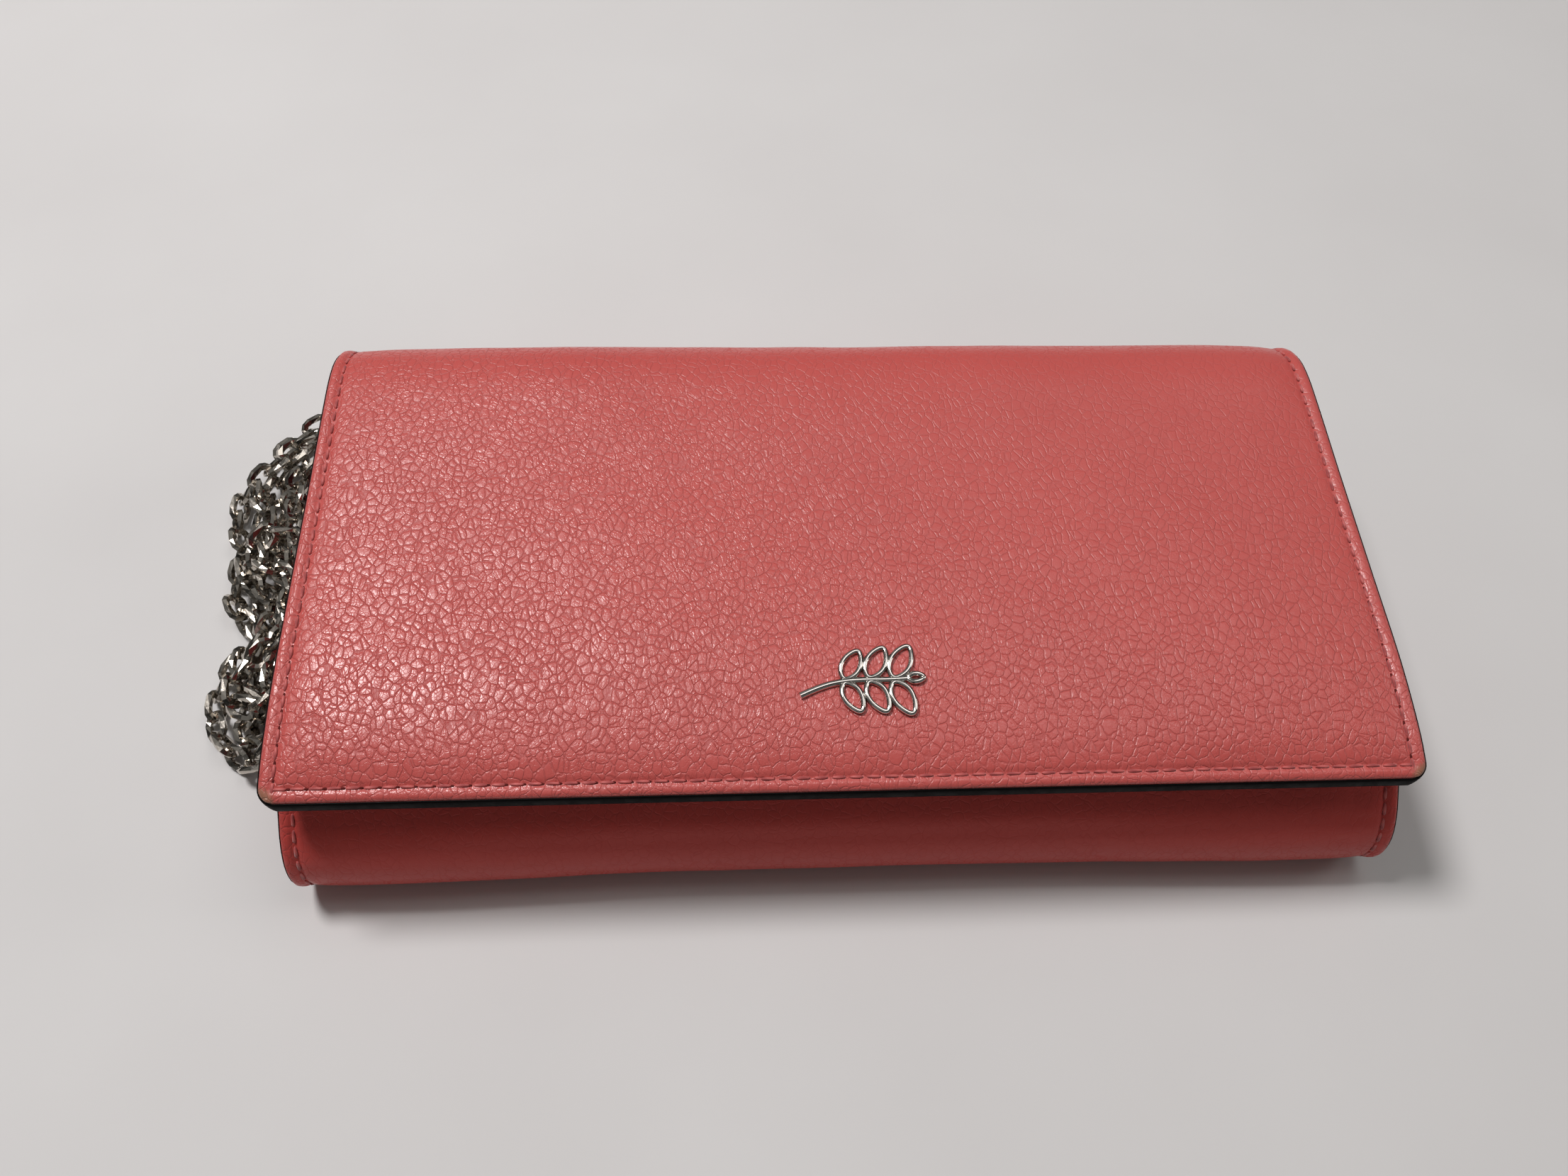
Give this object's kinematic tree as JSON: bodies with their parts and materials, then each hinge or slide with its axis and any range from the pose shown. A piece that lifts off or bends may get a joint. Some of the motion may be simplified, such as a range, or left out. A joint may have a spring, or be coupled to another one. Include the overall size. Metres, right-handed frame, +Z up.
{
  "type": "chain wallet",
  "caption": "Accordion flap wallet in grained coral leather, lying on its back, with a zip pocket, card slots, a polished sprig ornament and a heaped link chain.",
  "frame": {"origin": "on the table under the middle of the wallet, leaving the chain out", "axes": "+X along the width to the right, +Y towards the spine and mouth, +Z up out of the flap"},
  "size_m": [0.2433, 0.1253, 0.0412],
  "materials": {
    "coral_leather": "pebble-grained, semi-gloss, dark painted edges",
    "inner_leather": "smooth, satin",
    "lining": "smooth, matte",
    "board": "plain pressed board",
    "zip_tape": "woven tape",
    "zip_metal": "polished nickel plate",
    "chain_metal": "polished nickel plate",
    "emblem_metal": "polished nickel plate",
    "snap_metal": "polished nickel plate"
  },
  "bodies": {
    "back": {"back_panel": "coral_leather", "back_lining": "lining", "rear_card_panel_1": "inner_leather", "rear_card_panel_2": "inner_leather", "rear_card_panel_3": "inner_leather", "left_rear_gusset": "inner_leather", "right_rear_gusset": "inner_leather", "chain_heap": "chain_metal", "chain_lead": "chain_metal", "chain_rear_run": "chain_metal"},
    "divider": {"pocket_front_wall": "inner_leather", "pocket_back_wall": "inner_leather", "zip_tape_upper": "zip_tape", "zip_tape_lower": "zip_tape", "zip_teeth_upper": "zip_metal", "zip_teeth_lower": "zip_metal", "zip_stops": "zip_metal", "front_card_panel_1": "inner_leather", "front_card_panel_2": "inner_leather", "front_card_panel_3": "inner_leather", "left_ring_tab": "coral_leather", "right_ring_tab": "coral_leather", "left_front_gusset": "inner_leather", "right_front_gusset": "inner_leather"},
    "slider": {"zip_slider": "zip_metal"},
    "pull": {"zip_pull": "zip_metal"},
    "front": {"front_panel": "coral_leather", "front_lining": "lining", "snap_socket": "snap_metal", "snap_washer": "snap_metal"},
    "spine": {"spine_leather": "coral_leather", "spine_lining": "lining"},
    "flap": {"flap_leather": "coral_leather", "flap_board": "board", "flap_lining": "lining", "snap_stud": "snap_metal", "emblem": "emblem_metal", "emblem_washers": "emblem_metal"},
    "left_ring": {"left_d_ring": "chain_metal", "left_jump_ring": "chain_metal"},
    "right_ring": {"right_d_ring": "chain_metal", "right_jump_ring": "chain_metal"}
  },
  "joints": [
    {"name": "spine_fold", "type": "hinge", "parent": "back", "child": "spine", "pos_m": [0, 0.051, 0.0012], "axis": [-1, 0, 0], "range_deg": [0, 50]},
    {"name": "flap_fold", "type": "hinge", "parent": "spine", "child": "flap", "pos_m": [0, 0.04, 0.04022], "axis": [-1, 0, 0], "range_deg": [0, 125]},
    {"name": "front_opening", "type": "hinge", "parent": "back", "child": "front", "pos_m": [0, -0.05325, 0.0095], "axis": [1, 0, 0], "range_deg": [0, 8]},
    {"name": "divider_opening", "type": "hinge", "parent": "back", "child": "divider", "pos_m": [0, -0.0455, 0.011], "axis": [1, 0, 0], "range_deg": [0, 2.5]},
    {"name": "zip_slide", "type": "slide", "parent": "divider", "child": "slider", "axis": [-1, 0, 0], "range_m": [0, 0.14]},
    {"name": "zip_pull_hinge", "type": "hinge", "parent": "slider", "child": "pull", "pos_m": [0.07, 0.0391, 0.0184], "axis": [0, 0, 1], "range_deg": [-25, 0]},
    {"name": "left_ring_swing", "type": "hinge", "parent": "divider", "child": "left_ring", "pos_m": [-0.0994, 0.03, 0.01803], "axis": [0, 1, 0], "range_deg": [-5, 5]},
    {"name": "right_ring_swing", "type": "hinge", "parent": "divider", "child": "right_ring", "pos_m": [0.0994, 0.03, 0.01803], "axis": [0, 1, 0], "range_deg": [-5, 5]}
  ],
  "couplings": [
    {"joint": "front_opening", "follows": "spine_fold", "ratio": 0.16},
    {"joint": "divider_opening", "follows": "spine_fold", "ratio": 0.05}
  ]
}
